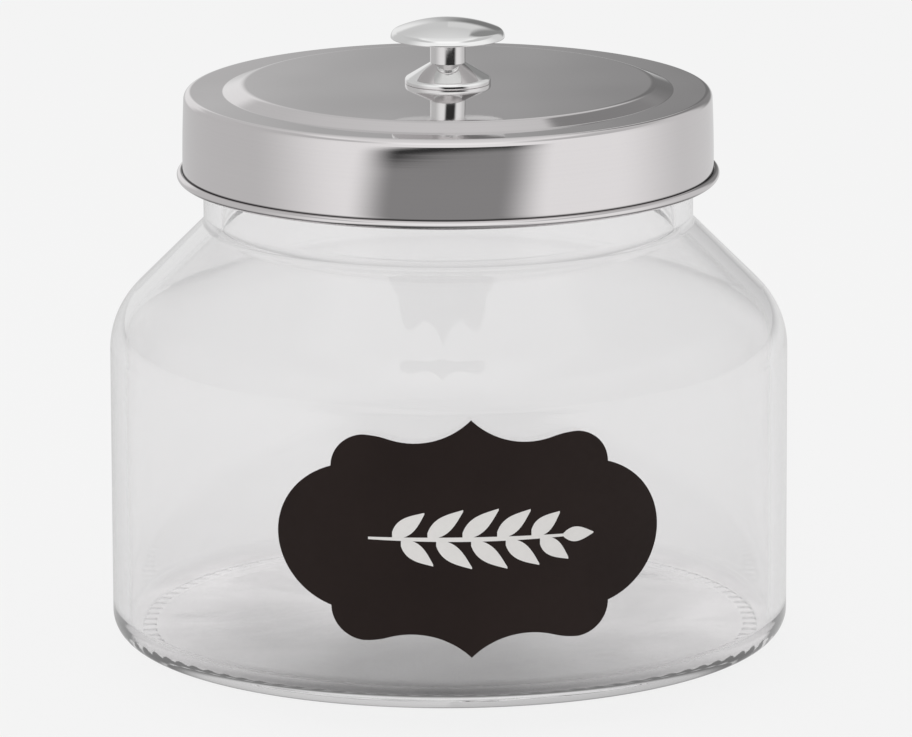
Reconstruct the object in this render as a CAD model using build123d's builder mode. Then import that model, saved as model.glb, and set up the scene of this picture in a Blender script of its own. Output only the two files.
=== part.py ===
from build123d import *
from math import atan2, cos, pi, radians, sin, tan
import os

os.makedirs("parts", exist_ok=True)

# Round glass canister with a push-on stamped steel lid and a chromed knob.
# Millimetres. The origin is the centre of the base, +Z is up and the label faces -Y.

# Glass jar
jar_diameter = 130.0
jar_height = 103.6
jar_wall = 3.0
neck_diameter = 93.7
neck_height = 22.9
neck_wall = 3.5
shoulder_radius = 15.5
shoulder_slope = 45.0
neck_root_radius = 1.2
inner_neck_root_radius = 6.0
heel_radius = 4.9
bearing_width = 3.6
push_up = 1.4
floor_thickness = 2.8
floor_crown = 1.2
inner_heel_radius = 3.2

# Label film
label_length = 74.8
label_margin = 5.9
film_thickness = 0.2

# Seal ring
seal_web = 1.5
seal_wall = 1.2
seal_depth = 11.0
seal_corner = 1.4
seal_overhang = 0.9
seat_gap = 0.25
fin_gap = 0.25
lid_gap = 0.15
fin_count = 2
fin_pitch = 4.2
fin_root = 1.5
fin_tip = 0.6
fin_droop = 1.1

# Lid, stamped from one sheet
sheet = 0.5
lid_overhang = 3.6
lid_draft = 0.35
skirt_height = 15.95
rim_radius = 1.4
rim_width = 7.45
band_width = 3.7
band_foot_radius = 1.0
plateau_edge_radius = 3.5
plateau_rise = 1.4
bead_height = 1.6
curl_angle = 285.0

# Knob and its flared base
cap_diameter = 21.8
cap_height = 8.75
cap_edge = 1.2
cap_rise = 2.4
cap_upper_round = 1.5
cap_lower_round = 0.15
cap_underside_fall = 0.5
knob_neck_diameter = 6.7
knob_neck_fillet = 0.8
shank_diameter = 5.6
base_diameter = 16.4
base_height = 3.95
base_foot = 1.0
base_foot_round = 0.8
base_wall = 0.75
shank_gap = 0.1

# Screw and washer
screw_diameter = 4.0
screw_length = 8.0
screw_gap = 0.2
thread_gap = 0.05
tap_depth = 8.2
head_diameter = 7.8
head_height = 2.5
head_crown = 0.7
recess_width = 1.0
recess_span = 4.4
recess_depth = 1.3
washer_diameter = 9.6
washer_thickness = 0.8


# Glass jar: one turned section from the push-up under the base to the rounded lip
jar_radius = jar_diameter / 2
neck_radius = neck_diameter / 2
bore_radius = neck_radius - neck_wall
inner_radius = jar_radius - jar_wall
bearing_outer = jar_radius - heel_radius
bearing_inner = bearing_outer - bearing_width
slope = radians(shoulder_slope)
slope_foot = jar_radius - shoulder_radius + shoulder_radius * sin(slope)
slope_rise = (slope_foot - neck_radius) * tan(slope)
shoulder_start = jar_height - neck_height - slope_rise - shoulder_radius * cos(slope)
shoulder_centre = (jar_radius - shoulder_radius, shoulder_start)


def shoulder_top(radius):
    """Where an arc of this radius about the shoulder's centre runs into the straight slope."""
    return (shoulder_centre[0] + radius * sin(slope), shoulder_centre[1] + radius * cos(slope))


def root_of_neck(radius, wall_radius):
    """Where the slope that leaves this arc meets an upright wall of the given radius."""
    start = shoulder_top(radius)
    return (wall_radius, start[1] + (start[0] - wall_radius) * tan(slope))


inner_shoulder_radius = shoulder_radius - jar_wall
neck_root = root_of_neck(shoulder_radius, neck_radius)
inner_neck_root = root_of_neck(inner_shoulder_radius, bore_radius)
lip_centre = (neck_radius - neck_wall / 2, jar_height - neck_wall / 2)
turn = 90 - shoulder_slope

with BuildPart() as glass_jar:
    with BuildSketch(Plane.XZ) as jar_section:
        with BuildLine():
            TangentArc((0, push_up), (bearing_inner, 0), tangent=(1, 0))
            Line((bearing_inner, 0), (bearing_outer, 0))
            CenterArc((bearing_outer, heel_radius), heel_radius, -90, 90)
            Line((jar_radius, heel_radius), (jar_radius, shoulder_start))
            CenterArc(shoulder_centre, shoulder_radius, 0, turn)
            Line(shoulder_top(shoulder_radius), neck_root)
            Line(neck_root, (neck_radius, lip_centre[1]))
            CenterArc(lip_centre, neck_wall / 2, 0, 180)
            Line((bore_radius, lip_centre[1]), inner_neck_root)
            Line(inner_neck_root, shoulder_top(inner_shoulder_radius))
            CenterArc(shoulder_centre, inner_shoulder_radius, 0, turn)
            Line((inner_radius, shoulder_start), (inner_radius, floor_thickness))
            TangentArc((0, floor_thickness + floor_crown), (inner_radius, floor_thickness), tangent=(1, 0))
            Line((0, floor_thickness + floor_crown), (0, push_up))
        make_face()
        corners = jar_section.vertices()
        fillet(corners.sort_by_distance(neck_root)[0], neck_root_radius)
        fillet(corners.sort_by_distance(inner_neck_root)[0], inner_neck_root_radius)
        fillet(corners.sort_by_distance((inner_radius, floor_thickness))[0], inner_heel_radius)
    revolve(axis=Axis.Z)
glass_jar.part.label = "glass_jar"
export_step(glass_jar.part, "parts/glass_jar.step")


# Label: a bracket-shaped plaque cut from film, wrapped on the wall and drawn as seen from the front
label_foot = heel_radius + label_margin
half_length = label_length / 2
half_height = (shoulder_start - label_foot) / 2
valley_share = (0.29, 0.804)
lobe_share = (0.545, 0.866)
notch_share = (0.709, 0.587)


def on_wall(length_share, height_share):
    """A point of the flat film as it stands in front view once the film is wrapped on the jar."""
    along = half_length * length_share
    return (jar_radius * sin(along / jar_radius), half_height * height_share)


tip = on_wall(0, 1)
valley = on_wall(*valley_share)
lobe = on_wall(*lobe_share)
notch = on_wall(*notch_share)
side = on_wall(1, 0)
bend = ((lobe[0] + valley[0]) / 2, (lobe[1] + valley[1]) / 2)

with BuildPart() as label:
    with BuildSketch(Plane((0, 0, label_foot + half_height), x_dir=(1, 0, 0), z_dir=(0, -1, 0))):
        with BuildLine():
            TangentArc(side, notch, tangent=(0, 1))
            TangentArc(notch, lobe, tangent=(0, 1))
            TangentArc(lobe, bend, tangent=(-1, 0))
            TangentArc(valley, bend, tangent=(1, 0))
            TangentArc(valley, tip, tangent=(-1, 0))
            mirror(about=Plane.YZ)
            mirror(about=Plane.XZ)
        make_face()
    extrude(amount=jar_diameter)
    with BuildSketch(Plane.XY):
        Circle(jar_radius + film_thickness)
        Circle(jar_radius, mode=Mode.SUBTRACT)
    extrude(amount=jar_height, mode=Mode.INTERSECT)
label.part.label = "label"
export_step(label.part, "parts/label.step")


# Lid: its flat rim lies on the seal, and the skirt goes down round the neck to a curled edge
lid_radius = neck_radius + lid_overhang
seal_top = jar_height + seat_gap + seal_web
lid_top = seal_top + lid_gap + sheet
plateau_top = lid_top + plateau_rise
bead_centre = lid_top - skirt_height
hole_radius = screw_diameter / 2 + screw_gap
band_edge = lid_radius - rim_width
plateau_edge = band_edge - band_width
skirt_radius = lid_radius + lid_draft
band_slope = atan2(plateau_rise, band_width)
pinch = sheet * tan(band_slope / 2)
curl_centre = (skirt_radius + bead_height / 2 - sheet, bead_centre)
half_sheet = sheet / 2

with BuildPart() as lid_shell:
    with BuildSketch(Plane.XZ):
        with BuildLine():
            FilletPolyline(
                (hole_radius, plateau_top),
                (plateau_edge, plateau_top),
                (band_edge, lid_top),
                (lid_radius, lid_top),
                (skirt_radius, bead_centre),
                radius=[plateau_edge_radius + half_sheet, band_foot_radius - half_sheet, rim_radius],
            )
            FilletPolyline(
                (hole_radius, plateau_top - sheet),
                (plateau_edge - pinch, plateau_top - sheet),
                (band_edge - pinch, lid_top - sheet),
                (lid_radius - sheet, lid_top - sheet),
                (skirt_radius - sheet, bead_centre),
                radius=[plateau_edge_radius - half_sheet, band_foot_radius + half_sheet, rim_radius - sheet],
            )
            curl_inside = CenterArc(curl_centre, bead_height / 2 - sheet, 180, curl_angle)
            curl_outside = CenterArc(curl_centre, bead_height / 2, 180, curl_angle)
            Line(curl_inside @ 1, curl_outside @ 1)
            Line((hole_radius, plateau_top), (hole_radius, plateau_top - sheet))
        make_face()
    revolve(axis=Axis.Z)
lid_shell.part.label = "lid_shell"
export_step(lid_shell.part, "parts/lid_shell.step")


# Seal ring: a web over the lip, a skirt against the lid's wall and drooping fins that wipe the neck
seal_outer = lid_radius - sheet - lid_gap
seal_inner = seal_outer - seal_wall
web_inner = bore_radius - seal_overhang
web_underside = seal_top - seal_web
fin_end = neck_radius + fin_gap
first_fin = web_underside - fin_pitch / 2

with BuildPart() as seal_ring:
    with BuildSketch(Plane.XZ) as seal_section:
        with BuildLine():
            Polyline(
                (web_inner, seal_top),
                (seal_outer, seal_top),
                (seal_outer, seal_top - seal_depth),
                (seal_inner, seal_top - seal_depth),
                (seal_inner, web_underside),
                (web_inner, web_underside),
                close=True,
            )
        make_face()
        fillet(seal_section.vertices().sort_by_distance((seal_outer, seal_top))[0], seal_corner)
        for fin in range(fin_count):
            fin_top = first_fin - fin * fin_pitch
            with BuildLine():
                Polyline(
                    (seal_inner + seal_wall / 2, fin_top),
                    (seal_inner, fin_top),
                    (fin_end, fin_top - fin_droop),
                    (fin_end, fin_top - fin_droop - fin_tip),
                    (seal_inner, fin_top - fin_root),
                    (seal_inner + seal_wall / 2, fin_top - fin_root),
                    close=True,
                )
            make_face()
    revolve(axis=Axis.Z)
seal_ring.part.label = "seal_ring"
export_step(seal_ring.part, "parts/seal_ring.step")


# Flared base: a hollow cone with a rounded foot, clamped between the knob's neck and the lid
base_radius = base_diameter / 2
knob_neck_radius = knob_neck_diameter / 2
shank_radius = shank_diameter / 2
base_bore = shank_radius + shank_gap
base_hollow = base_radius - base_wall
hollow_step_share = 0.5

with BuildPart() as knob_base:
    with BuildSketch(Plane.XZ) as base_section:
        with BuildLine():
            Polyline(
                (base_radius, plateau_top),
                (base_radius, plateau_top + base_foot),
                (knob_neck_radius, plateau_top + base_height),
                (base_bore, plateau_top + base_height),
                (base_bore, plateau_top + base_height - base_wall),
                (knob_neck_radius, plateau_top + base_height - base_wall),
                (base_hollow, plateau_top + base_foot * hollow_step_share),
                (base_hollow, plateau_top),
                close=True,
            )
        make_face()
        foot_corner = (base_radius, plateau_top + base_foot)
        fillet(base_section.vertices().sort_by_distance(foot_corner)[0], base_foot_round)
    revolve(axis=Axis.Z)
knob_base.part.label = "knob_base"
export_step(knob_base.part, "parts/knob_base.step")


# Knob: a domed cap on a neck, whose thinner shank passes through the base and takes the screw
cap_radius = cap_diameter / 2
cap_foot = (cap_radius, plateau_top + cap_height)
cap_shoulder = (cap_radius, cap_foot[1] + cap_edge)
cap_top = cap_shoulder[1] + cap_rise
neck_top = (knob_neck_radius, cap_foot[1] - cap_underside_fall)
tap_radius = screw_diameter / 2 + thread_gap

with BuildPart() as knob:
    with BuildSketch(Plane.XZ) as knob_section:
        with BuildLine():
            TangentArc((0, cap_top), cap_shoulder, tangent=(1, 0))
            Polyline(
                cap_shoulder,
                cap_foot,
                neck_top,
                (knob_neck_radius, plateau_top + base_height),
                (shank_radius, plateau_top + base_height),
                (shank_radius, plateau_top),
                (tap_radius, plateau_top),
                (tap_radius, plateau_top + tap_depth),
                (0, plateau_top + tap_depth + tap_radius * tan(pi / 6)),
                (0, cap_top),
            )
        make_face()
        fillet(knob_section.vertices().sort_by_distance(neck_top)[0], knob_neck_fillet)
        fillet(knob_section.vertices().sort_by_distance(cap_foot)[0], cap_lower_round)
        fillet(knob_section.vertices().sort_by_distance(cap_shoulder)[0], cap_upper_round)
    revolve(axis=Axis.Z)
knob.part.label = "knob"
export_step(knob.part, "parts/knob.step")


# Washer under the screw's head, against the inside of the lid
plateau_under = plateau_top - sheet
washer_under = plateau_under - washer_thickness

with BuildPart() as screw_washer:
    with BuildSketch(Plane.XY.offset(washer_under)):
        Circle(washer_diameter / 2)
        Circle(hole_radius, mode=Mode.SUBTRACT)
    extrude(amount=washer_thickness)
screw_washer.part.label = "screw_washer"
export_step(screw_washer.part, "parts/screw_washer.step")


# Screw: a crowned head with a cross recess below the washer and its shank up in the knob
head_radius = head_diameter / 2
head_under = washer_under - head_height

with BuildPart() as knob_screw:
    with BuildSketch(Plane.XZ):
        with BuildLine():
            Line((0, washer_under + screw_length), (screw_diameter / 2, washer_under + screw_length))
            Line((screw_diameter / 2, washer_under + screw_length), (screw_diameter / 2, washer_under))
            Line((screw_diameter / 2, washer_under), (head_radius, washer_under))
            Line((head_radius, washer_under), (head_radius, head_under + head_crown))
            TangentArc((0, head_under), (head_radius, head_under + head_crown), tangent=(1, 0))
            Line((0, head_under), (0, washer_under + screw_length))
        make_face()
    revolve(axis=Axis.Z)
    with BuildSketch(Plane.XY.offset(head_under)):
        Rectangle(recess_span, recess_width)
        Rectangle(recess_width, recess_span)
    extrude(amount=recess_depth, mode=Mode.SUBTRACT)
knob_screw.part.label = "knob_screw"
export_step(knob_screw.part, "parts/knob_screw.step")
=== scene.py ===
import bmesh
import bpy
from math import atan2, cos, degrees, pi, radians, sin, sqrt, tan
from mathutils import Matrix, Vector


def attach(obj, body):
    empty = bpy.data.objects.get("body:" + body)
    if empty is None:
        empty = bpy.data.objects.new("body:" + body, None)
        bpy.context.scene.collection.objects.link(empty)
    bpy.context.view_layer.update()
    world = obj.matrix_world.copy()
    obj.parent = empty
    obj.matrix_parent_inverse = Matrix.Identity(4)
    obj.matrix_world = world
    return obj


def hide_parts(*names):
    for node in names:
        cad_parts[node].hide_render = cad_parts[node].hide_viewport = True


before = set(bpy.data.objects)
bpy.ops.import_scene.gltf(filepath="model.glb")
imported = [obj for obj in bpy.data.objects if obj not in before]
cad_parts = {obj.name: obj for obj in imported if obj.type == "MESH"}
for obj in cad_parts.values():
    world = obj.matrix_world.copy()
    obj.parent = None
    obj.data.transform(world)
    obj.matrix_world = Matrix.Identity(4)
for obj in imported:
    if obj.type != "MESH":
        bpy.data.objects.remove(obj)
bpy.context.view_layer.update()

# Glass jar: one piece of clear pressed glass with a low push-up and a sloped shoulder. It stands on a
# narrow bearing ring that the mould leaves covered in small radial ribs. The inner wall is only blown
# against air, so it is a little wavy.

MM = 0.001
JAR_RADIUS = 65.0
JAR_HEIGHT = 103.6
JAR_WALL = 3.0
NECK_RADIUS = 46.85
NECK_WALL = 3.5
NECK_FOOT = 80.7
NECK_ROOT = 1.2
INNER_NECK_ROOT = 6.0
SHOULDER_RADIUS = 15.5
HEEL_RADIUS = 4.9
INNER_HEEL_RADIUS = 3.2
BEARING = (56.5, 60.1)
BEARING_STEPS = (0.05, 0.12, 0.3, 0.5, 0.7, 0.88)
PUSH_UP = 1.4
FLOOR = 2.8
FLOOR_CROWN = 1.2
FLOOR_EDGE = 56.0
RIBS = 88
RIB_DEPTH = 0.12
RIB_PARTS = 5
RIB_MARGIN = 0.3
WAVE_DEPTH = 0.035
WAVE_FREE = (9.0, 4.0)
CHILLED_EDGE = 6.0
GLASS_TINT = (0.958, 0.954, 0.956, 1)
GLASS_SHADE_TINT = (0.91, 0.905, 0.908, 1)
GLASS_IOR = 1.52


def rounded(corners, step=8.0):
    """A section's points. A corner is (radius, height) or (radius, height, rounding), in millimetres."""
    points = []
    count = len(corners)
    for i, corner in enumerate(corners):
        here = Vector(corner[:2])
        round_by = corner[2] if len(corner) > 2 else 0.0
        if not round_by:
            points.append(tuple(here))
            continue
        back = (Vector(corners[i - 1][:2]) - here).normalized()
        ahead = (Vector(corners[(i + 1) % count][:2]) - here).normalized()
        opening = back.angle(ahead)
        centre = here + (back + ahead).normalized() * (round_by / sin(opening / 2))
        reach = round_by / tan(opening / 2)
        start = here + back * reach - centre
        swing = start.angle_signed(here + ahead * reach - centre)
        parts = max(2, round(degrees(abs(swing)) / step))
        for k in range(parts + 1):
            turn = -swing * k / parts
            points.append((
                centre.x + start.x * cos(turn) - start.y * sin(turn),
                centre.y + start.x * sin(turn) + start.y * cos(turn),
            ))
    return points


def dished(edge, height, rise, start, end, parts):
    """Points from one radius to another of a shallow dome that ends at this edge and height."""
    sphere = (edge**2 + rise**2) / (2 * rise)
    radii = [start + (end - start) * k / parts for k in range(parts + 1)]
    return [(r, height + rise - sphere + sqrt(sphere**2 - r**2)) for r in radii]


def as_piece(mesh, name, crease):
    """A piece of this mesh. Edges sharper than the crease, in degrees, stay sharp."""
    data = bpy.data.meshes.new(name)
    mesh.to_mesh(data)
    mesh.free()
    data.set_sharp_from_angle(angle=radians(crease))
    piece = bpy.data.objects.new(name, data)
    bpy.context.scene.collection.objects.link(piece)
    return piece


def turned(name, section, sides, closed=True, crease=30.0, reshape=None):
    """A piece of revolution about the jar's axis, from its section in millimetres."""
    mesh = bmesh.new()
    rings = []
    for radius, height in section:
        if radius < 1e-6:
            rings.append([mesh.verts.new((0, 0, height * MM))] * sides)
            continue
        ring = []
        for k in range(sides):
            angle = 2 * pi * k / sides
            r, z = reshape(radius, height, k, angle) if reshape else (radius, height)
            ring.append(mesh.verts.new((r * cos(angle) * MM, r * sin(angle) * MM, z * MM)))
        rings.append(ring)
    pairs = list(zip(rings, rings[1:]))
    if closed:
        pairs.append((rings[-1], rings[0]))
    for low, high in pairs:
        for k in range(sides):
            n = (k + 1) % sides
            loop = []
            for vert in (low[k], low[n], high[n], high[k]):
                if vert not in loop:
                    loop.append(vert)
            mesh.faces.new(loop).smooth = True
    bmesh.ops.recalc_face_normals(mesh, faces=mesh.faces)
    return as_piece(mesh, name, crease)


def add(tree, kind, inputs=None, **settings):
    """A node of this kind in a tree. Its inputs are values, or outputs of other nodes to link."""
    node = tree.nodes.new(kind)
    for key, value in settings.items():
        setattr(node, key, value)
    for key, value in (inputs or {}).items():
        if isinstance(value, bpy.types.NodeSocket):
            tree.links.new(value, node.inputs[key])
        else:
            node.inputs[key].default_value = value
    return node


def new_material(name):
    """A new material, its empty node tree, and each point's place on the piece."""
    material = bpy.data.materials.new(name)
    material.use_nodes = True
    tree = material.node_tree
    tree.nodes.clear()
    return material, tree, add(tree, "ShaderNodeTexCoord").outputs["Object"]


def noise(tree, place, scale, detail, distortion=0.0):
    """Cloudy values between 0 and 1. The scale is in clouds per metre."""
    return add(tree, "ShaderNodeTexNoise", {
        "Vector": place, "Scale": scale, "Detail": detail, "Distortion": distortion,
    }).outputs["Fac"]


def scaled(tree, value, start, end, low=0.0, high=1.0, kind="LINEAR"):
    """A value that goes from low to high as another goes from start to end."""
    return add(tree, "ShaderNodeMapRange", {
        "Value": value, 1: start, 2: end, 3: low, 4: high,
    }, interpolation_type=kind).outputs["Result"]


def arithmetic(tree, kind, first, second=0.0, **settings):
    """One step of arithmetic."""
    return add(tree, "ShaderNodeMath", {0: first, 1: second}, operation=kind, **settings).outputs[0]


def length_of(tree, arrow):
    """How far a point is from the origin."""
    return add(tree, "ShaderNodeVectorMath", {0: arrow}, operation="LENGTH").outputs["Value"]


def relief(tree, height, strength, distance, ground=None):
    """Fine relief of a surface, on other relief where there is some."""
    inputs = {"Height": height, "Strength": strength, "Distance": distance}
    if ground is not None:
        inputs["Normal"] = ground
    return add(tree, "ShaderNodeBump", inputs).outputs["Normal"]


def mix_of(tree, share, first, second):
    """A mix of two shaders."""
    return add(tree, "ShaderNodeMixShader", {0: share, 1: first.outputs[0], 2: second.outputs[0]})


def cover(tree, shader):
    """Makes a shader the surface of its material."""
    add(tree, "ShaderNodeOutputMaterial", {"Surface": shader.outputs[0]})


slope_low = NECK_FOOT - (JAR_RADIUS - NECK_RADIUS)
bore = NECK_RADIUS - NECK_WALL
inner_radius = JAR_RADIUS - JAR_WALL
inner_gap = JAR_WALL * sqrt(2)
inner_neck_foot = NECK_FOOT + NECK_WALL - inner_gap
inner_slope_low = inner_neck_foot - (inner_radius - bore)
lip = NECK_WALL / 2 - 0.001

jar_section = dished(BEARING[0], 0.0, PUSH_UP, 0.0, BEARING[0], 14)
jar_section += [(BEARING[0] + (BEARING[1] - BEARING[0]) * t, 0.0) for t in BEARING_STEPS]
jar_section += rounded([
    (BEARING[1] - 0.2, 0.0),
    (JAR_RADIUS, 0.0, HEEL_RADIUS),
    (JAR_RADIUS, slope_low, SHOULDER_RADIUS),
    (NECK_RADIUS, NECK_FOOT, NECK_ROOT),
    (NECK_RADIUS, JAR_HEIGHT, lip),
    (bore, JAR_HEIGHT, lip),
    (bore, inner_neck_foot, INNER_NECK_ROOT),
    (inner_radius, inner_slope_low, SHOULDER_RADIUS - JAR_WALL),
    (inner_radius, FLOOR, INNER_HEEL_RADIUS),
    dished(inner_radius, FLOOR, FLOOR_CROWN, FLOOR_EDGE, FLOOR_EDGE, 1)[0],
], step=5.0)[:-1]
jar_section += dished(inner_radius, FLOOR, FLOOR_CROWN, FLOOR_EDGE, 0.0, 12)


def pressed_glass(radius, height, k, angle):
    """The ribs under the base and the slight waves of the inner wall."""
    if height < 0.01 and BEARING[0] + RIB_MARGIN < radius < BEARING[1] - RIB_MARGIN:
        return radius, RIB_DEPTH * (1 - cos(2 * pi * k / RIB_PARTS)) / 2
    waved = FLOOR + WAVE_FREE[0] < height < inner_slope_low - WAVE_FREE[1]
    if waved and radius < inner_radius + 0.01:
        wave = sin(3 * angle + 0.09 * height) + 0.6 * sin(7 * angle - 0.13 * height + 1.0)
        return radius + WAVE_DEPTH * wave, height
    return radius, height


jar_glass = turned("jar_glass", jar_section, RIBS * RIB_PARTS, closed=False, reshape=pressed_glass)

clear_glass, tree, place = new_material("clear_glass")
swell = noise(tree, place, scale=26.0, detail=2.0)
ripple = relief(tree, swell, strength=0.05, distance=0.0015)
off_axis = length_of(tree, place)
at_base = scaled(tree, off_axis, BEARING[0] * MM, (BEARING[0] - CHILLED_EDGE) * MM, 0.0, 0.16)
swirl = noise(tree, place, scale=24.0, detail=1.5, distortion=1.2)
chilled = relief(tree, swirl, strength=at_base, distance=0.0025, ground=ripple)
haze = noise(tree, place, scale=90.0, detail=6.0)
glass = add(tree, "ShaderNodeBsdfPrincipled", {
    "Base Color": GLASS_TINT, "Roughness": scaled(tree, haze, 0.45, 0.75, 0.0, 0.02), "IOR": GLASS_IOR,
    "Transmission Weight": 1.0, "Normal": chilled,
})
unbent = add(tree, "ShaderNodeBsdfTransparent", {"Color": GLASS_SHADE_TINT})
ray = add(tree, "ShaderNodeLightPath").outputs
lights_others = arithmetic(tree, "MAXIMUM", ray["Is Shadow Ray"], ray["Is Diffuse Ray"])
trapped = arithmetic(tree, "GREATER_THAN", ray["Glossy Depth"], 2.5)
cover(tree, mix_of(tree, arithmetic(tree, "MAXIMUM", lights_others, trapped), glass, unbent))

jar_glass.data.materials.append(clear_glass)
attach(jar_glass, "jar")
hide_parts("glass_jar")


# Label: matt black-brown vinyl film cut to a bracket-shaped plaque and stuck flat on the jar's wall. Its
# outline is made of arcs that run into one another.

LABEL_HALF = (37.4, 22.665)
LABEL_MIDDLE = 33.465
FILM = 0.14
OUTLINE = {"tip": (0.0, 1.0), "valley": (0.29, 0.804), "lobe": (0.545, 0.866), "notch": (0.709, 0.587)}
VINYL_BROWNS = ((0.0160, 0.0098, 0.0086, 1), (0.0205, 0.0128, 0.0112, 1))


def on_film(length_share, height_share):
    """A point of the outline in front view, once the film is on the wall."""
    around_wall = LABEL_HALF[0] * length_share / JAR_RADIUS
    return Vector((JAR_RADIUS * sin(around_wall), LABEL_HALF[1] * height_share))


def tangent_arc(start, end, heading, parts):
    """Points of the arc from start to end that sets out along the heading."""
    chord = end - start
    normal = Vector((-heading.y, heading.x)).normalized()
    sweep = chord.length_squared / (2 * chord.dot(normal))
    centre = start + normal * sweep
    first = atan2(start.y - centre.y, start.x - centre.x)
    last = atan2(end.y - centre.y, end.x - centre.x)
    swing = (last - first + pi) % (2 * pi) - pi
    turns = [first + swing * k / parts for k in range(parts + 1)]
    return [centre + Vector((cos(turn), sin(turn))) * abs(sweep) for turn in turns]


def edge_of(columns):
    """The points all round the edge of a row of columns."""
    top = [column[-1] for column in columns[-2::-1]]
    return [column[0] for column in columns] + columns[-1][1:] + top + columns[0][-2:0:-1]


def wrapped(name, columns, inner, outer, rows=6):
    """A thin skin on the jar's wall from upright columns (across, low, high) in front view."""
    mesh = bmesh.new()
    skins = []
    for radius in (inner, outer):
        skin = []
        for across, low, high in columns:
            away = -sqrt(JAR_RADIUS**2 - across**2) / JAR_RADIUS
            x = across / JAR_RADIUS * radius * MM
            y = away * radius * MM
            heights = [low + (high - low) * k / rows for k in range(rows + 1)]
            skin.append([mesh.verts.new((x, y, z * MM)) for z in heights])
        skins.append(skin)
    for skin in skins:
        for left, right in zip(skin, skin[1:]):
            for k in range(rows):
                mesh.faces.new((left[k], right[k], right[k + 1], left[k + 1])).smooth = True
    back, front = (edge_of(skin) for skin in skins)
    for k in range(len(back)):
        n = (k + 1) % len(back)
        mesh.faces.new((back[k], back[n], front[n], front[k]))
    bmesh.ops.remove_doubles(mesh, verts=mesh.verts, dist=1e-6)
    bmesh.ops.dissolve_degenerate(mesh, edges=mesh.edges, dist=1e-7)
    bmesh.ops.recalc_face_normals(mesh, faces=mesh.faces)
    return as_piece(mesh, name, 40.0)


def mixed(tree, share, first, second):
    """A colour between two others."""
    return add(tree, "ShaderNodeMix", {"Factor": share, 6: first, 7: second}, data_type="RGBA").outputs[2]


tip, valley, lobe, notch = (on_film(*OUTLINE[n]) for n in ("tip", "valley", "lobe", "notch"))
bend = (lobe + valley) / 2
quarter = tangent_arc(on_film(1, 0), notch, Vector((0, 1)), 26)
quarter += tangent_arc(notch, lobe, Vector((0, 1)), 18)[1:]
quarter += tangent_arc(lobe, bend, Vector((-1, 0)), 10)[1:]
quarter += tangent_arc(valley, bend, Vector((1, 0)), 10)[-2::-1]
quarter += tangent_arc(valley, tip, Vector((-1, 0)), 20)[1:]
columns = [(x, LABEL_MIDDLE - y, LABEL_MIDDLE + y) for x, y in quarter]
columns = columns + [(-x, low, high) for x, low, high in columns[-2::-1]]
label_film = wrapped("label_film", columns, JAR_RADIUS, JAR_RADIUS + FILM)

dark_vinyl, tree, place = new_material("dark_vinyl")
fleck = noise(tree, place, scale=700.0, detail=5.0)
cloud = scaled(tree, noise(tree, place, scale=45.0, detail=3.0), 0.3, 0.7)
film = add(tree, "ShaderNodeBsdfPrincipled", {
    "Base Color": mixed(tree, cloud, *VINYL_BROWNS), "Roughness": scaled(tree, fleck, 0.3, 0.7, 0.48, 0.6),
    "Specular IOR Level": 0.16, "Normal": relief(tree, fleck, strength=0.12, distance=0.00004),
})
cover(tree, film)

label_film.data.materials.append(dark_vinyl)
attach(label_film, "jar")
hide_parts("label")


# Sprig: a stem with pairs of leaves, printed on the film in off-white ink that stands a hair proud of it.
# The stem and every leaf are separate prints.

INK = 0.05
SPRIG_HALF = 19.0
STEM_HALF = 0.42
STEM_PARTS = 40
LEAF_PAIRS = 5
FIRST_PAIR = -0.78
PAIR_SPREAD = 1.36
LEAF = (8.2, 1.75)
LEAF_LEAN = 38.0
LEAF_STAGGER = 1.6
END_LEAF = (0.75, 0.9)
END_LEAF_INSET = 2.0
LEAF_COLUMNS = 30
OFF_WHITES = ((0.76, 0.745, 0.725, 1), (0.82, 0.80, 0.785, 1))


def blade(root, lean, length, width, parts=14):
    """Upright columns of one pointed leaf that grows from its root at this angle, in front view."""
    rim = []
    for side in (1, -1):
        for k in range(parts + 1):
            t = k / parts if side > 0 else 1 - k / parts
            along = length * t
            across = side * width * sin(pi * t**0.85) * (1 - 0.25 * t)
            rim.append((
                root[0] + along * cos(lean) - across * sin(lean),
                root[1] + along * sin(lean) + across * cos(lean),
            ))
    left = round(min(x for x, y in rim), 4)
    right = round(max(x for x, y in rim), 4)
    leaf_columns = []
    for k in range(LEAF_COLUMNS + 1):
        x = left + (right - left) * k / LEAF_COLUMNS
        hits = []
        for (x0, y0), (x1, y1) in zip(rim, rim[1:] + rim[:1]):
            if (x0 - x) * (x1 - x) <= 0 and abs(x1 - x0) > 1e-9:
                hits.append(y0 + (y1 - y0) * (x - x0) / (x1 - x0))
        if hits and max(hits) - min(hits) > 0.02:
            leaf_columns.append((x, min(hits), max(hits)))
    return leaf_columns


stem = []
for k in range(STEM_PARTS + 1):
    half = STEM_HALF * (0.55 + 0.45 * cos(pi * (k / STEM_PARTS - 0.5)))
    stem.append((-SPRIG_HALF + 2 * SPRIG_HALF * k / STEM_PARTS, LABEL_MIDDLE - half, LABEL_MIDDLE + half))
prints = [stem]
lean = radians(LEAF_LEAN)
for pair in range(LEAF_PAIRS):
    share = pair / (LEAF_PAIRS - 1)
    root = SPRIG_HALF * FIRST_PAIR + SPRIG_HALF * PAIR_SPREAD * share
    length = LEAF[0] * (0.78 + 0.34 * sin(pi * (0.2 + 0.7 * share)))
    for side, shift in ((1, 0.0), (-1, LEAF_STAGGER)):
        prints.append(blade((root + shift, LABEL_MIDDLE + side * 0.2), side * lean, length, LEAF[1]))
end_root = (SPRIG_HALF - END_LEAF_INSET, LABEL_MIDDLE)
prints.append(blade(end_root, 0.0, LEAF[0] * END_LEAF[0], LEAF[1] * END_LEAF[1]))

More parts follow.
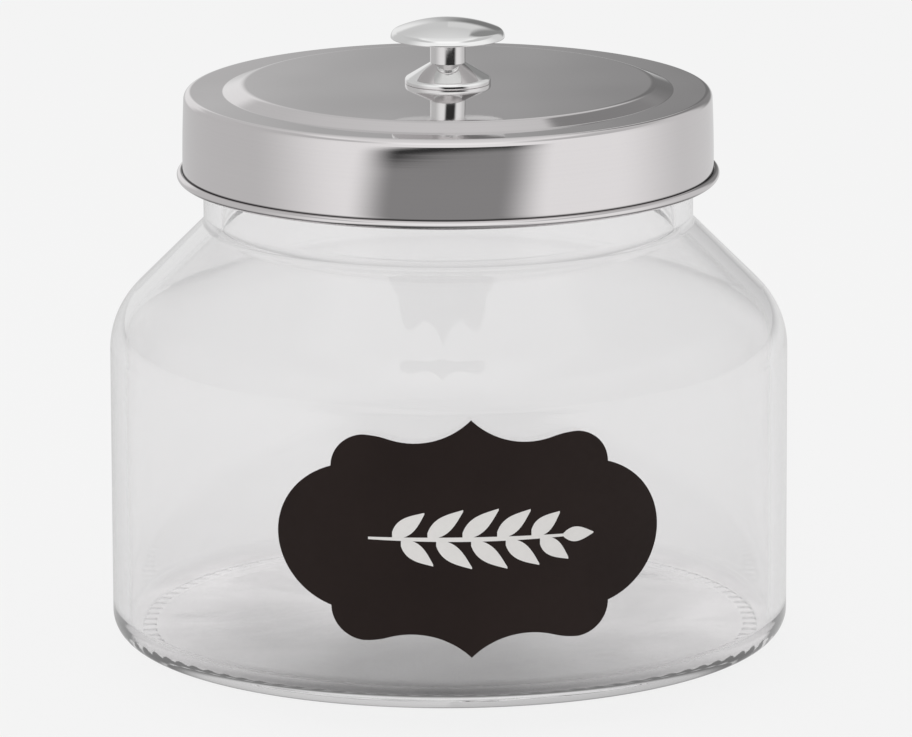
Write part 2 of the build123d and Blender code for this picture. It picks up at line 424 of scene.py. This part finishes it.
off_white, tree, place = new_material("off_white_ink")
fleck = noise(tree, place, scale=900.0, detail=4.0)
ink = add(tree, "ShaderNodeBsdfPrincipled", {
    "Base Color": mixed(tree, fleck, *OFF_WHITES), "Roughness": 0.55, "Specular IOR Level": 0.2,
})
cover(tree, ink)

for n, columns in enumerate(prints):
    leaf = wrapped(f"label_sprig_{n}", columns, JAR_RADIUS + FILM - 0.01, JAR_RADIUS + FILM + INK, rows=2)
    leaf.data.materials.append(off_white)
    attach(leaf, "jar")


# Seal ring: moulded translucent silicone with a web that rests on the jar's lip and two fins that wipe
# the neck. It is snapped into the lid and grips the skirt from inside.

SEAL_TOP = 105.35
SEAL_WEB = 1.5
SEAL_BOTTOM = 94.35
SEAL_OUTER = 49.8
SEAL_INNER = 48.6
SEAL_CORNER = 0.3
SEAL_SHOULDER = 1.4
WEB_INNER = 42.45
FIN_END = 47.1
FIN_TIP = 0.15
FIN_ROOT = 0.12
FIN_HEIGHT = 1.5
FIN_END_DROPS = (1.7, 1.1)
FIN_TOPS = (97.55, 101.75)
SILICONE_WHITES = ((0.70, 0.70, 0.68, 1), (0.78, 0.78, 0.76, 1))

fins = []
for top in FIN_TOPS:
    fins += [
        (SEAL_INNER, top - FIN_HEIGHT, FIN_ROOT),
        (FIN_END, top - FIN_END_DROPS[0], FIN_TIP),
        (FIN_END, top - FIN_END_DROPS[1], FIN_TIP),
        (SEAL_INNER, top, FIN_ROOT),
    ]
seal_section = rounded([
    (WEB_INNER, SEAL_TOP, SEAL_CORNER),
    (SEAL_OUTER, SEAL_TOP, SEAL_SHOULDER),
    (SEAL_OUTER, SEAL_BOTTOM, SEAL_CORNER),
    (SEAL_INNER, SEAL_BOTTOM, SEAL_CORNER),
    *fins,
    (SEAL_INNER, SEAL_TOP - SEAL_WEB, FIN_ROOT),
    (WEB_INNER, SEAL_TOP - SEAL_WEB, SEAL_CORNER),
], step=15.0)
seal = turned("seal_silicone_ring", seal_section, 240)

milky_silicone, tree, place = new_material("milky_silicone")
cloud = noise(tree, place, scale=60.0, detail=4.0)
dust = noise(tree, place, scale=800.0, detail=4.0)
rubber = add(tree, "ShaderNodeBsdfPrincipled", {
    "Base Color": mixed(tree, cloud, *SILICONE_WHITES), "Roughness": 0.5, "IOR": 1.41,
    "Subsurface Weight": 0.25, "Subsurface Radius": (1.0, 1.0, 1.0), "Subsurface Scale": 0.001,
    "Normal": relief(tree, dust, strength=0.15, distance=0.00005),
})
cover(tree, rubber)

seal.data.materials.append(milky_silicone)
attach(seal, "seal")
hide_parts("seal_ring")


# Lid shell: stamped from one 0.5 mm sheet of stainless steel, then polished on a lathe. The middle is
# raised, the rim is rounded and the lower edge of the skirt is rolled into a curl, with painted shade
# in the crease above it.

SHEET = 0.5
LID_TOP = 106.0
PLATEAU_TOP = 107.4
PLATEAU_EDGE = 39.3
PLATEAU_BEND = 3.75
BAND_EDGE = 43.0
BAND_BEND = 0.75
LID_RADIUS = 50.45
SKIRT_RADIUS = 50.8
SKIRT_SWELL = 0.11
SKIRT_STEPS = (0.16, 0.24, 0.32, 0.4, 0.5, 0.6, 0.7, 0.8, 0.9)
RIM = 1.4
CURL_HEIGHT = 90.05
CURL = 0.8
CURL_SWEEP = 285.0
HOLE = 2.2
STEELS = ((0.715, 0.69, 0.695, 1), (0.745, 0.72, 0.725, 1))
GROOVE_SHADE = (0.1, 0.095, 0.095, 1)

pinch = SHEET * tan(atan2(PLATEAU_TOP - LID_TOP, BAND_EDGE - PLATEAU_EDGE) / 2)
curl_middle = SKIRT_RADIUS + CURL - SHEET


def curl(radius, parts=26):
    """Points of the rolled edge, from the skirt down, out and up."""
    angles = [pi + radians(CURL_SWEEP) * k / parts for k in range(parts + 1)]
    return [(curl_middle + radius * cos(a), CURL_HEIGHT + radius * sin(a)) for a in angles]


def skirt(inset, top):
    """Points down the skirt's wall, which swells a little between the rim and the curl."""
    return [(
        LID_RADIUS - inset + (SKIRT_RADIUS - LID_RADIUS) * t + 4 * SKIRT_SWELL * t * (1 - t),
        top + (CURL_HEIGHT - top) * t,
    ) for t in SKIRT_STEPS]


def times(tree, first, second):
    """The product of two values."""
    return arithmetic(tree, "MULTIPLY", first, second)


outside = rounded([
    (HOLE, PLATEAU_TOP),
    (PLATEAU_EDGE, PLATEAU_TOP, PLATEAU_BEND),
    (BAND_EDGE, LID_TOP, BAND_BEND),
    (LID_RADIUS, LID_TOP, RIM),
    *skirt(0.0, LID_TOP),
], step=3.0)
inside = rounded([
    (HOLE, PLATEAU_TOP - SHEET),
    (PLATEAU_EDGE - pinch, PLATEAU_TOP - SHEET, PLATEAU_BEND - SHEET),
    (BAND_EDGE - pinch, LID_TOP - SHEET, BAND_BEND + SHEET),
    (LID_RADIUS - SHEET, LID_TOP - SHEET, RIM - SHEET),
    *skirt(SHEET, LID_TOP - SHEET),
], step=3.0)
lid_section = outside + curl(CURL - SHEET) + curl(CURL)[::-1] + inside[::-1]
lid = turned("lid_steel_shell", lid_section, 360, crease=50.0)

polished_steel, tree, place = new_material("polished_steel")
across, along, up = add(tree, "ShaderNodeSeparateXYZ", {0: place}).outputs
reach = length_of(tree, add(tree, "ShaderNodeCombineXYZ", {0: across, 1: along}).outputs[0])
lathe = add(tree, "ShaderNodeCombineXYZ", {0: reach, 1: up}).outputs[0]
lines = noise(tree, lathe, scale=1900.0, detail=3.0)
rub = noise(tree, place, scale=38.0, detail=4.0)
waves = noise(tree, place, scale=26.0, detail=1.0)
uneven = relief(tree, waves, strength=0.7, distance=0.001)
scored = relief(tree, lines, strength=0.05, distance=0.00002, ground=uneven)
# Painted shade: the curl's inner top and the skirt's foot are darkened in the crease between them.
curl_side = scaled(tree, up, (CURL_HEIGHT + 0.3) * MM, (CURL_HEIGHT + 0.75) * MM)
skirt_side = scaled(tree, up, (CURL_HEIGHT + CURL + 0.35) * MM, (CURL_HEIGHT + CURL + 0.1) * MM)
in_groove = scaled(tree, reach, (SKIRT_RADIUS + 0.55) * MM, (SKIRT_RADIUS + 0.3) * MM)
painted_groove_shade = times(tree, times(tree, curl_side, skirt_side), in_groove)
steel = add(tree, "ShaderNodeBsdfPrincipled", {
    "Base Color": mixed(tree, painted_groove_shade, mixed(tree, lines, *STEELS), GROOVE_SHADE), "Metallic": 1.0,
    "Roughness": scaled(tree, rub, 0.3, 0.7, 0.025, 0.06), "Normal": scored,
})
cover(tree, steel)

lid.data.materials.append(polished_steel)
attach(lid, "lid")
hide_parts("lid_shell")


# Knob base: a small hollow cone of turned and chromed metal with a rounded foot. It is clamped between
# the lid and the shoulder of the knob.

BASE_RADIUS = 8.2
BASE_FOOT = 1.0
BASE_TOP = 3.95
BASE_WALL = 0.75
BASE_ROUNDING = 0.8
NECK = 3.35
SHANK = 2.8
SHANK_GAP = 0.1
CHROMES = ((0.84, 0.84, 0.84, 1), (0.89, 0.89, 0.885, 1))

base_section = [(r, z + PLATEAU_TOP) for r, z in rounded([
    (BASE_RADIUS, 0.0, 0.12),
    (BASE_RADIUS, BASE_FOOT, BASE_ROUNDING),
    (NECK, BASE_TOP, 0.1),
    (SHANK + SHANK_GAP, BASE_TOP),
    (SHANK + SHANK_GAP, BASE_TOP - BASE_WALL),
    (NECK, BASE_TOP - BASE_WALL),
    (BASE_RADIUS - BASE_WALL, BASE_FOOT / 2),
    (BASE_RADIUS - BASE_WALL, 0.0),
])]
base = turned("knob_base_cone", base_section, 160)

chrome, tree, place = new_material("bright_chrome")
rub = noise(tree, place, scale=160.0, detail=5.0)
metal = add(tree, "ShaderNodeBsdfPrincipled", {
    "Base Color": mixed(tree, rub, *CHROMES), "Metallic": 1.0,
    "Roughness": scaled(tree, rub, 0.35, 0.7, 0.025, 0.06),
    "Normal": relief(tree, rub, strength=0.06, distance=0.0002),
})
cover(tree, metal)

base.data.materials.append(chrome)
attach(base, "lid")
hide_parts("knob_base")


# Knob: domed cap, neck and tapped shank turned from one bar and chromed. Its shank stands on the lid
# inside the cone, and the screw pulls it down.

CAP_RADIUS = 10.9
CAP_HEIGHT = 8.75
CAP_EDGE = 1.2
CAP_RISE = 2.4
CAP_ROUNDING = 1.5
CAP_HOLLOW = 0.5
DOME_END = 9.8
NECK_FILLET = 0.8
NECK_GAP = 0.01
TAP = (2.05, 8.2)

dome = dished(CAP_RADIUS, CAP_HEIGHT + CAP_EDGE, CAP_RISE, 0.0, DOME_END, 24)
stalk = rounded([
    dome[-1],
    (CAP_RADIUS, CAP_HEIGHT + CAP_EDGE, CAP_ROUNDING),
    (CAP_RADIUS, CAP_HEIGHT, 0.15),
    (NECK, CAP_HEIGHT - CAP_HOLLOW, NECK_FILLET),
    (NECK, BASE_TOP + NECK_GAP),
    (SHANK, BASE_TOP + NECK_GAP),
    (SHANK, 0.0),
    (TAP[0], 0.0),
    (TAP[0], TAP[1]),
    (0.0, TAP[1] + TAP[0] * tan(pi / 6)),
], step=6.0)
knob_section = [(r, z + PLATEAU_TOP) for r, z in dome + stalk[1:]]
knob = turned("knob_cap_and_stalk", knob_section, 200, closed=False)
knob.data.materials.append(chrome)
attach(knob, "lid")
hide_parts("knob")


# Washer and screw: zinc-plated steel, on the underside of the lid. They keep the shape that the frame
# gives them and take a dull plated finish with fine spangles.

ZINCS = ((0.50, 0.51, 0.53, 1), (0.64, 0.65, 0.66, 1))

zinc, tree, place = new_material("zinc_plate")
spangle = noise(tree, place, scale=420.0, detail=5.0)
metal = add(tree, "ShaderNodeBsdfPrincipled", {
    "Base Color": mixed(tree, spangle, *ZINCS), "Metallic": 1.0,
    "Roughness": scaled(tree, spangle, 0.3, 0.7, 0.26, 0.4),
})
cover(tree, metal)

for name in ("screw_washer", "knob_screw"):
    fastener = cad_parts[name]
    fastener.data.materials.clear()
    fastener.data.materials.append(zinc)


# Floor: a plain pale sheet that looks almost self-lit, so it stays even behind the jar, and still takes a
# faint soft shadow. Through the glass it shows a painted soft cloudy shade with two darker places, as
# light leaves it inside a real jar. Bright metal sees the studio and not the floor.

FLOOR_HALF = 3.0
PALE = 0.913
PAINT = 0.9
PAINT_SHARE = 0.09
SHADE_AT = (-0.004, -0.043, 0.0)
SHADE_REACH = (0.012, 0.075)
SHADE = (0.16, 0.88)
SHADE_TINT = (1.0, 0.985, 0.99, 1)
SHADE_END = (0.06, 0.072)
SHADE_SHARE = 0.85
DARKER_SHADE_SPOTS = ((-0.035, 0.002, 0.0), (0.037, 0.018, 0.0))
DARK_REACH = (0.006, 0.032)
DARK = 0.72
DARK_SQUEEZE = (2.0, 1.0, 1.0)


def fade(tree, value, start, end, low=0.0, high=1.0):
    """A soft step from low to high as the value goes from start to end."""
    return scaled(tree, value, start, end, low, high, kind="SMOOTHSTEP")


def between(tree, kind, first, second):
    """An arrow worked out from two others."""
    return add(tree, "ShaderNodeVectorMath", {0: first, 1: second}, operation=kind).outputs[0]


sheet = bmesh.new()
corners = [(-1, -1), (1, -1), (1, 1), (-1, 1)]
sheet.faces.new([sheet.verts.new((x * FLOOR_HALF, y * FLOOR_HALF, 0.0)) for x, y in corners])
studio_floor = as_piece(sheet, "studio_floor", 180.0)

pale_floor, tree, place = new_material("pale_floor")
own_light = add(tree, "ShaderNodeEmission", {"Color": (PALE, PALE, PALE, 1), "Strength": 1.0})
paint = add(tree, "ShaderNodeBsdfDiffuse", {"Color": (PAINT, PAINT, PAINT, 1)})
seen = mix_of(tree, PAINT_SHARE, own_light, paint)
clear = add(tree, "ShaderNodeBsdfTransparent")
ray = add(tree, "ShaderNodeLightPath").outputs
mirror_ray = arithmetic(
    tree, "SUBTRACT", ray["Is Glossy Ray"], ray["Is Transmission Ray"], use_clamp=True,
)
mirrored = mix_of(tree, mirror_ray, paint, clear)

# Painted shade, seen only through the glass: darkest near the front under the jar, cloudy, with two darker
# spots.
from_shade = length_of(tree, between(tree, "SUBTRACT", place, SHADE_AT))
drift = noise(tree, place, scale=30.0, detail=4.0, distortion=1.6)
shade_clouds = scaled(tree, drift, 0.35, 0.65, 0.86, 1.06)
shade_tone = times(tree, fade(tree, from_shade, *SHADE_REACH, *SHADE), shade_clouds)
for spot in DARKER_SHADE_SPOTS:
    shift = between(tree, "SUBTRACT", place, spot)
    slim = between(tree, "MULTIPLY", shift, DARK_SQUEEZE)
    shade_tone = times(tree, shade_tone, fade(tree, length_of(tree, slim), *DARK_REACH, DARK, 1.0))
shade = add(tree, "ShaderNodeEmission", {"Color": SHADE_TINT, "Strength": shade_tone})
under_jar = scaled(tree, length_of(tree, place), *SHADE_END, SHADE_SHARE, 0.0)
shaded = mix_of(tree, under_jar, paint, shade)
by_bounce = mix_of(tree, ray["Is Transmission Ray"], mirrored, shaded)
cover(tree, mix_of(tree, ray["Is Camera Ray"], by_bounce, seen))

studio_floor.data.materials.append(pale_floor)


# Studio: a bright room with a dark gap low in front, a darker back and a soft ceiling. Bright metal sees
# it as a pattern of the world, with angles in degrees and tones of light. Glass sees a plainer one, and
# matt surfaces are lit by an even world and two soft lamps.

FRONT_TURN = radians(-3.63)
GAP_LEAN = 0.9
GAP_LEFT = (-36, -15)
GAP_RIGHT = (30, 54)
GAP_FOOT = (-7.6, -5.8)
GAP_TONES = (0.29, 0.035)
GAP_TOP = (12, 14)
GAP_LIFT = 17.4
FIRST_MIRROR = (1.2, 1.8)
ABOVE_GAP = 1.0
LEFT_SIDE = (-95, -42, 0.62, 0.97)
RIGHT_SIDE = (75, 125, 0.97, 0.7)
SIDES_MEET = (-5, 5)
BACK_LEFT = (-42, -26)
BACK_RIGHT = (26, 42)
BACK_FOOT = (-6, 4)
BACK_TOP = (17, 25)
BACK_TONES = (-9, 5, 0.88, 0.2)
TALL_BACK = (9, 14)
TALL_BACK_SHARE = 0.85
TALL_BACK_RISE = 12.0
GROUND = (-34, -15, 0.3, 1.0)
CEILING_EDGE = (32, 38)
CEILING_BACK = (30, 74, 0.62, 0.85)
CEILING_FRONT = (95, 135)
CEILING_TONE = 1.1
CEILING_SIDES = (55, 65, 0.6, CEILING_TONE)
TO_SIDES = (0.25, 0.6)
GLASS_TONES = (0.3, 0.78)
GLASS_BACK = (-0.6, -0.93)
EVEN_LIGHT = 0.6
LAMPS = (
    ("soft_lamp_above", (-0.05, 0.35, 1.4), 0.45, 6.5),
    ("soft_lamp_front", (-0.5, -1.5, 0.7), 0.7, 5.0),
)
LAMP_AIM = Vector((0, 0, 0.05))


def share_along(tree, way, axis):
    """How far a direction goes along an axis."""
    return add(tree, "ShaderNodeVectorMath", {0: way, 1: axis}, operation="DOT_PRODUCT").outputs["Value"]


def angle_of(tree, side, ahead):
    """The angle in degrees between straight ahead and a direction."""
    return times(tree, arithmetic(tree, "ARCTAN2", side, ahead), 180 / pi)


def blend(tree, share, first, second):
    """A value between two others."""
    return add(tree, "ShaderNodeMix", {0: share, 2: first, 3: second}, data_type="FLOAT").outputs[0]


def window(tree, value, rising, falling):
    """1 between a soft rise and a soft fall, and 0 outside them."""
    return times(tree, fade(tree, value, *rising), fade(tree, value, *falling, 1.0, 0.0))


world = bpy.data.worlds.new("studio")
world.use_nodes = True
tree = world.node_tree
tree.nodes.clear()
ray = add(tree, "ShaderNodeLightPath").outputs
way = add(tree, "ShaderNodeTexCoord").outputs["Generated"]
to_right = share_along(tree, way, (cos(FRONT_TURN), sin(FRONT_TURN), 0))
to_front = share_along(tree, way, (sin(FRONT_TURN), -cos(FRONT_TURN), 0))
to_back = times(tree, to_front, -1.0)
height = add(tree, "ShaderNodeSeparateXYZ", {0: way}).outputs[2]
from_front = angle_of(tree, to_right, to_front)
from_back = angle_of(tree, to_right, to_back)
over_from_back = angle_of(tree, height, to_back)
rise = times(tree, arithmetic(tree, "ARCSINE", height), 180 / pi)

# The gap in front and the two sides. A first reflection sees the gap end below the horizon, and a later
# one sees it reach 13 degrees up.
slanted = arithmetic(tree, "SUBTRACT", from_front, times(tree, rise, GAP_LEAN))
gap = window(tree, slanted, GAP_LEFT, GAP_RIGHT)
gap_tone = fade(tree, rise, *GAP_FOOT, *GAP_TONES)
lift = fade(tree, ray["Glossy Depth"], *FIRST_MIRROR, GAP_LIFT, 0.0)
past_gap = fade(tree, arithmetic(tree, "ADD", rise, lift), *GAP_TOP)
gap_tone = blend(tree, past_gap, gap_tone, ABOVE_GAP)
left_tone = fade(tree, from_front, *LEFT_SIDE)
right_tone = fade(tree, from_front, *RIGHT_SIDE)
side_tone = blend(tree, fade(tree, from_front, *SIDES_MEET), left_tone, right_tone)
around = blend(tree, gap, side_tone, gap_tone)

# The back, darker and taller on its right, and the dark ground below
back = times(tree, window(tree, from_back, BACK_LEFT, BACK_RIGHT), fade(tree, rise, *BACK_FOOT))
tall_back = window(tree, from_back, TALL_BACK, BACK_RIGHT)
back_share = blend(tree, tall_back, fade(tree, rise, *BACK_TOP, 1.0, 0.0), TALL_BACK_SHARE)
around = blend(tree, times(tree, back, back_share), around, fade(tree, from_back, *BACK_TONES))
around = times(tree, around, fade(tree, rise, *GROUND))

# The ceiling, which starts higher up over the tall part of the back
ceiling = fade(tree, over_from_back, *CEILING_BACK)
ceiling = blend(tree, fade(tree, over_from_back, *CEILING_FRONT), ceiling, CEILING_TONE)
sideways = fade(tree, arithmetic(tree, "ABSOLUTE", to_right), *TO_SIDES)
ceiling = blend(tree, sideways, ceiling, fade(tree, rise, *CEILING_SIDES))
above_back = arithmetic(tree, "SUBTRACT", rise, times(tree, tall_back, TALL_BACK_RISE))
metal_sees = blend(tree, fade(tree, above_back, *CEILING_EDGE), around, ceiling)

# What each kind of ray sees
glass_sees = blend(tree, fade(tree, to_front, *GLASS_BACK), *GLASS_TONES)
light = blend(tree, ray["Is Camera Ray"], EVEN_LIGHT, PALE)
light = blend(tree, ray["Is Glossy Ray"], light, metal_sees)
light = blend(tree, ray["Is Transmission Ray"], light, glass_sees)
sky = add(tree, "ShaderNodeBackground", {"Color": (1, 1, 1, 1), "Strength": light})
add(tree, "ShaderNodeOutputWorld", {"Surface": sky.outputs[0]})
bpy.context.scene.world = world

for name, spot, size, energy in LAMPS:
    lamp = bpy.data.lights.new(name, "AREA")
    lamp.size = size
    lamp.energy = energy
    soft_lamp = bpy.data.objects.new(name, lamp)
    soft_lamp.location = spot
    soft_lamp.rotation_mode = "QUATERNION"
    soft_lamp.rotation_quaternion = (soft_lamp.location - LAMP_AIM).to_track_quat("Z", "Y")
    soft_lamp.visible_glossy = False
    soft_lamp.visible_transmission = False
    bpy.context.scene.collection.objects.link(soft_lamp)


# Camera: a long lens 1.7 m away, a little above the lid and a little to the left of the label's front. It
# looks at a point near the middle of the jar, given in millimetres to the right and up.

CAMERA_TURN = FRONT_TURN
CAMERA_RISE = radians(12.627)
CAMERA_ROLL = radians(-0.2)
CAMERA_DISTANCE = 1.7
CAMERA_LENS = 349.07
CAMERA_SENSOR = 36.0
CAMERA_AIM = (1.367, 51.428)

eye = bpy.data.cameras.new("studio_camera")
eye.lens = CAMERA_LENS
eye.sensor_width = CAMERA_SENSOR
eye.clip_start = 0.05
eye.clip_end = 20.0
camera = bpy.data.objects.new("studio_camera", eye)
bpy.context.scene.collection.objects.link(camera)
to_camera = Vector((
    sin(CAMERA_TURN) * cos(CAMERA_RISE),
    -cos(CAMERA_TURN) * cos(CAMERA_RISE),
    sin(CAMERA_RISE),
))
aim = Vector((cos(CAMERA_TURN) * CAMERA_AIM[0], sin(CAMERA_TURN) * CAMERA_AIM[0], CAMERA_AIM[1])) * MM
facing = to_camera.to_track_quat("Z", "Y").to_matrix() @ Matrix.Rotation(CAMERA_ROLL, 3, "Z")
camera.rotation_mode = "QUATERNION"
camera.rotation_quaternion = facing.to_quaternion()
camera.location = aim + to_camera * CAMERA_DISTANCE
bpy.context.scene.camera = camera
bpy.context.scene.view_settings.view_transform = "Standard"


# Finally the view layer is brought up to date.

bpy.context.view_layer.update()
